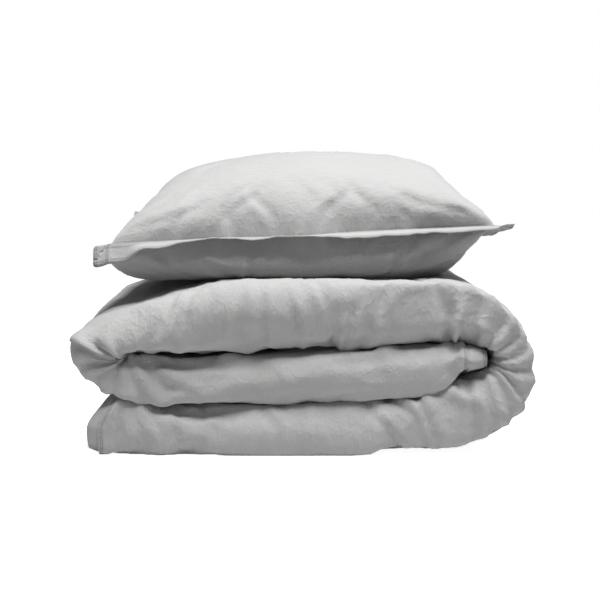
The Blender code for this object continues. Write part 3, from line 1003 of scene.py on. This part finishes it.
for name, closed, opened in (("buttonhole_band", 0.0011, 0.0160), ("button_band", -0.0011, 0.0080)):
    puckered_strip(
        name, (DUVET_LENGTH, -SIDE), (DUVET_LENGTH + BUTTON_BAND, SIDE), band_lift(closed, opened),
        f"closure_{name}", along=(20, 60),
    )
print("borders made")

# %% [markdown]
# ## The pillow
#
# A pillowcase is two flat panels, sewn together a finger's breadth inside their edges, so that a flat
# border is left outside the seam. It is made here in the same way: a grid for the top with its
# border, and a smaller grid for the underside, joined along the seam and blown up together.


# %% Lay out the pillowcase
CASE_STEP = 0.0085
BORDER_CELLS = 3
BORDER_WIDTH = BORDER_CELLS * CASE_STEP
PILLOW_REACH = 0.668
SEAM_RISE = 0.045  # towards the right, for each metre


def seam_height(x, y):
    """The seam lies on a plane that rises towards the back, and a little towards the right."""
    return STACK_HEIGHT + SEAM_HEIGHT + PILLOW_TILT * (y - PILLOW_SETBACK) + SEAM_RISE * x


def flat_case():
    """Both panels, flat, as one mesh. A face's material index says which piece it becomes."""
    half = np.array([PILLOW_WIDTH, PILLOW_DEPTH]) / 2
    cells = [round(PILLOW_WIDTH / CASE_STEP), round(PILLOW_DEPTH / CASE_STEP)]
    cell = 2 * half / cells
    bm = bmesh.new()
    uv = bm.loops.layers.uv.new("cloth")
    for grow, height in ((BORDER_CELLS, 0.0), (0, -1.0)):
        made = bmesh.ops.create_grid(
            bm, x_segments=cells[0] + 2 * grow, y_segments=cells[1] + 2 * grow, size=0.5
        )
        reach = 2 * (half + grow * cell)
        for vert in made["verts"]:
            vert.co = (vert.co.x * reach[0], vert.co.y * reach[1], height)
        if height:
            faces = {face for vert in made["verts"] for face in vert.link_faces}
            bmesh.ops.reverse_faces(bm, faces=list(faces))
    for face in bm.faces:
        face.smooth = True
        middle = face.calc_center_median()
        out = np.abs(middle.xy) - half
        if middle.z < -0.5:
            face.material_index = 1
        elif out.max() > 0:
            across = out[1] >= out[0]
            face.material_index = 2 + (0 if across else 2) + (middle.y > 0 if across else middle.x > 0)
        for loop in face.loops:
            loop[uv].uv = loop.vert.co.xy
    seam = []
    for vert in bm.verts:
        out = np.abs(vert.co.xy) - half
        if abs(out.max()) < 1e-4:
            vert.co.z = 0
            seam.append(vert)
    bmesh.ops.remove_doubles(bm, verts=seam, dist=1e-4)
    return bm_object("pillowcase", bm)


case = flat_case()
case_flat = points_of(case)
half_width, half_depth = PILLOW_WIDTH / 2, PILLOW_DEPTH / 2
across = np.clip(case_flat[:, 0] / half_width, -1, 1)
deep = np.clip(case_flat[:, 1] / half_depth, -1, 1)
crown = ((1 - across**2) * (1 - deep**2)) ** 0.5
crown_height = np.where(case_flat[:, 2] < -0.5, -CROWN_BELOW, CROWN_ABOVE) * 0.86 * crown
case_laid = case_flat.copy()
case_laid[:, 1] += PILLOW_SETBACK
case_laid[:, 2] = seam_height(case_laid[:, 0], case_laid[:, 1]) + crown_height
case_laid[:, 2] = np.maximum(case_laid[:, 2], STACK_HEIGHT + 0.003)
print("pillowcase grid", len(case_flat), "points")

# %% Blow up the pillowcase
move_points(case, case_laid)
outside_seam = np.maximum(np.abs(case_flat[:, 0]) - half_width, np.abs(case_flat[:, 1]) - half_depth)
seed = case_laid.copy()
seed[:, 2] += 0.0015 * uneven(case_flat, 26.0, 2)
move_points(case, seed)
slab = helper_box((-0.5, -0.5, 0.2), (0.5, 0.5, STACK_HEIGHT + 0.001))
tools = [collider("duvet_top", slab, place=None)]
case_laid = simulate(
    case, frames=22, pressure=3.0, pins=None, spare=(0.0, 0.10), gravity=0.02, bending=0.1,
    roomy=np.where(outside_seam > -0.03, 0.3 + 0.7 * (outside_seam > -0.001), 0.0),
    pressed=np.where(outside_seam > -1e-4, 0.0, 1.0), colliders=tools,
)
reach = case_laid[:, 0].max() - case_laid[:, 0].min()
case_laid[:, 0] *= PILLOW_REACH / reach
print("pillowcase pulled in to", round(reach, 3))

# %% [markdown]
# ## Settling the pillow and hanging its border
#
# A pillow that has been set down is fuller on the side it was set down on, so the underside is pushed
# out at the left and drawn in at the right. The front seam is drawn up along a gently rising line.
# The border is two thin layers of cloth with little to hold it up: at the left front corner it hangs
# as a puckered tab, then it lies level and is seen edge-on, and towards the right it hangs a little
# again and ends in a tip that curls up.

# %% Settle the pillow
PUSHED_OUT_LEFT, DRAWN_IN_RIGHT = 0.026, 0.024
x, _, z = case_laid.T
below_seam = np.clip((STACK_HEIGHT + SEAM_HEIGHT - z) / 0.05, 0, 1) * (case_flat[:, 2] < -0.5)
case_laid[:, 0] -= PUSHED_OUT_LEFT * below_seam * smooth_step(-x, 0.08, 0.24)
case_laid[:, 0] -= DRAWN_IN_RIGHT * below_seam * smooth_step(x, 0.12, 0.26)
case_laid[:, 2] += 0.005 * np.clip((z - STACK_HEIGHT - SEAM_HEIGHT) / 0.1, 0, 1)
place_in_cloth = {(round(a, 4), round(b, 4)): i for i, (a, b, c) in enumerate(case_flat) if c > -0.5}
on_front_seam = [
    i
    for (a, b), i in place_in_cloth.items()
    if abs(b + half_depth) < 1e-3 and abs(a) < half_width + 1e-3
]
on_front_seam.sort(key=lambda i: case_flat[i, 0])


def front_seam_height(x):
    return 0.3445 + 0.047 * x - 0.003 * np.exp(-(((x + 0.02) / 0.06) ** 2))


seam_x = case_laid[on_front_seam, 0]
raise_by = front_seam_height(seam_x) - case_laid[on_front_seam, 2]
reach_in = np.exp(-(((case_flat[:, 1] + half_depth) / 0.07) ** 2))
case_laid[:, 2] += np.interp(case_laid[:, 0], seam_x, raise_by) * reach_in
print("front seam raised by up to", round(float(np.abs(raise_by).max()) * 1000, 1), "mm")


# %% Hang the border
def hang_of_border(x):
    """How far the front border's edge hangs below the seam."""
    tab = 0.024 * (1 - smooth_step(x, -0.292, -0.262))
    return tab + 0.008 * (1 - smooth_step(x, -0.25, -0.18)) + 0.006 * smooth_step(x, -0.06, 0.05)


reach = np.array([half_width, half_depth])
clipped = np.clip(case_flat[:, :2], -reach, reach)
for i in np.nonzero(outside_seam > 1e-4)[0]:
    base = case_laid[place_in_cloth[(round(clipped[i, 0], 4), round(clipped[i, 1], 4))]]
    off = case_flat[i, :2] - clipped[i]
    share = min(1.0, max(abs(off)) / BORDER_WIDTH)
    in_front = off[1] < -1e-4
    at_left_corner = case_flat[i, 0] < -half_width + 0.03 and case_flat[i, 1] < -half_depth + 0.04
    hang = hang_of_border(base[0]) if in_front else 0.004
    along = case_flat[i, 0] if abs(off[1]) > 1e-4 else case_flat[i, 1]
    wave = 0.0075 * noise.noise((along * 14, 1.5, 0)) + 0.0024 * noise.noise((along * 105, 4.5, 0))
    tip = 0.010 * (off[0] > 1e-4) * (off[1] < -1e-4) + 0.012 * (off[0] < -1e-4) * (off[1] > 1e-4)
    inward = math.sqrt(max(0.1, 1 - (hang / BORDER_WIDTH) ** 2))
    drop = hang * share
    if off[0] < -1e-4 and in_front:
        drop, wave, inward = 0.034 * -off[1] / BORDER_WIDTH - 0.16 * off[0], 0.0, 0.35
    pucker = 0.0055 * noise.noise((case_flat[i, 0] * 90, case_flat[i, 1] * 90, 7.7)) * at_left_corner
    case_laid[i] = (
        base[0] + off[0], base[1] + off[1] * inward + pucker, base[2] - drop + (wave + tip) * share
    )
move_points(case, case_laid)
case_cloth = case.data.copy()
subdivided(case)
print("pillowcase", len(case.data.polygons), "faces")

# %% Crease the pillowcase
CASE_CREASES = [
    # panel (1 top, -1 underside), from (x, distance from the front seam), to the same, depth, width
    (1, (-0.300, 0.010), (-0.215, 0.085), 0.0034, 0.0080),
    (1, (-0.285, 0.004), (-0.150, 0.045), 0.0032, 0.0075),
    (1, (-0.220, 0.004), (-0.140, 0.090), 0.0028, 0.0085),
    (1, (-0.130, 0.003), (-0.060, 0.070), 0.0026, 0.0075),
    (1, (-0.050, 0.003), (-0.085, 0.065), 0.0024, 0.0070),
    (1, (0.030, 0.003), (0.075, 0.060), 0.0026, 0.0075),
    (1, (0.120, 0.003), (0.065, 0.075), 0.0026, 0.0080),
    (1, (0.300, 0.012), (0.190, 0.110), 0.0022, 0.0085),
    (1, (0.302, 0.030), (0.215, 0.165), 0.0022, 0.0090),
    (1, (0.280, 0.004), (0.130, 0.050), 0.0020, 0.0075),
    (1, (-0.180, 0.160), (-0.120, 0.250), 0.0022, 0.0120),
    (1, (0.020, 0.170), (0.110, 0.240), 0.0020, 0.0120),
    (-1, (-0.280, 0.006), (-0.180, 0.060), 0.0032, 0.0080),
    (-1, (-0.220, 0.004), (-0.150, 0.055), 0.0030, 0.0070),
    (-1, (-0.150, 0.004), (-0.110, 0.060), 0.0026, 0.0065),
    (-1, (-0.092, 0.004), (-0.085, 0.060), 0.0032, 0.0050),
    (-1, (0.180, 0.004), (0.120, 0.060), 0.0026, 0.0080),
    (-1, (0.270, 0.004), (0.170, 0.055), 0.0032, 0.0085),
]
spots = flat_places(case)
facing = normals_of(case)
panel = np.where(facing[:, 2] >= 0, 1, -1)
move = np.zeros(len(spots))
for side, start, end, depth, width in CASE_CREASES:
    ends = ((start[0], start[1] - half_depth), (end[0], end[1] - half_depth))
    move += np.where(panel == side, stroke(spots, ends, depth, width), 0)
    mirrored = ((-start[0], half_depth - start[1]), (-end[0], half_depth - end[1]))
    move += np.where(panel == side, stroke(spots, mirrored, depth, width), 0)
to_seam = np.minimum(half_width - np.abs(spots[:, 0]), half_depth - np.abs(spots[:, 1]))
near_a_side = half_width - np.abs(spots[:, 0]) < half_depth - np.abs(spots[:, 1])
along_seam = np.where(near_a_side, spots[:, 1], spots[:, 0])
gathers = uneven(np.column_stack([along_seam * 70, to_seam * 12, panel * 3.0]), 1.0, 8)
move += crinkled(spots, 24.0, 0.0020, 11) + crinkled(spots, 65.0, 0.0008, 12)
move += 0.0019 * gathers * np.exp(-np.clip(to_seam, 0, 1) / 0.018)
move *= smooth_step(to_seam, 0.001, 0.012)
move_points(case, points_of(case) + facing * move[:, None])
print("pillowcase creased")


# %% Cut the pillowcase into its pieces
def piece_of_case(name, index, surface, node, thickness=0):
    bm = bmesh.new()
    bm.from_mesh(case.data)
    others = [face for face in bm.faces if face.material_index != index]
    bmesh.ops.delete(bm, geom=others, context="FACES")
    for face in bm.faces:
        face.material_index = 0
    piece = bm_object(name, bm, surface)
    if thickness:
        wall = piece.modifiers.new("doubled_cloth", "SOLIDIFY")
        wall.thickness = thickness
        wall.offset = 0
    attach(piece, "pillow")
    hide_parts(node)
    return piece


piece_of_case("pillowcase_top", 0, CASE, "pillowcase_top_panel")
piece_of_case("pillowcase_underside", 1, CASE, "pillowcase_bottom_panel")
for index, (where, length) in enumerate(
    [("front", PILLOW_WIDTH), ("back", PILLOW_WIDTH), ("left", PILLOW_DEPTH), ("right", PILLOW_DEPTH)]
):
    piece_of_case(
        f"pillowcase_border_{where}", 2 + index, CASE, f"pillowcase_flange_{where}",
        thickness=0.002,
    )
bpy.data.objects.remove(case, do_unlink=True)
print("pillowcase cut into six pieces")


# %% Inside the pillowcase
def inside_case(name, share, nodes, surface, keep):
    """A smaller copy of the two panels, drawn in towards the surface midway between them."""
    partner = {}
    for i, (x, y, side) in enumerate(case_flat):
        partner.setdefault((round(x, 4), round(y, 4)), []).append(i)
    middle = case_laid.copy()
    for pair in partner.values():
        middle[pair] = case_laid[pair].mean(axis=0)
    centre = np.array([0, PILLOW_SETBACK, 0])
    places = middle + (case_laid - middle) * share - centre
    places[:, :2] *= 0.5 + 0.5 * share
    bm = bmesh.new()
    bm.from_mesh(case_cloth)
    for vert, place in zip(bm.verts, places + centre):
        vert.co = place
    others = [face for face in bm.faces if not keep(face)]
    bmesh.ops.delete(bm, geom=others, context="FACES")
    for face in bm.faces:
        face.material_index = 0
    made = bm_object(name, bm, surface)
    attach(made, "pillow")
    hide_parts(*nodes)
    return made


def of_panels(face):
    return face.material_index < 2


pillow_casing = inside_case(
    "pillow_casing", 0.92, ["pillow_casing_top", "pillow_casing_bottom"], CASING,
    of_panels,
)
pillow_filling = inside_case(
    "pillow_filling", 0.85, ["pillow_fill"], CASING, of_panels
)
FLAP_START = 0.334 * PILLOW_WIDTH / 2
tuck_flap = inside_case(
    "pillowcase_tuck_flap_cloth", 0.96, ["pillowcase_tuck_flap"], CASE,
    lambda face: face.material_index == 1 and face.calc_center_median().x > FLAP_START,
)
bpy.data.meshes.remove(case_cloth)
print("pillow made")
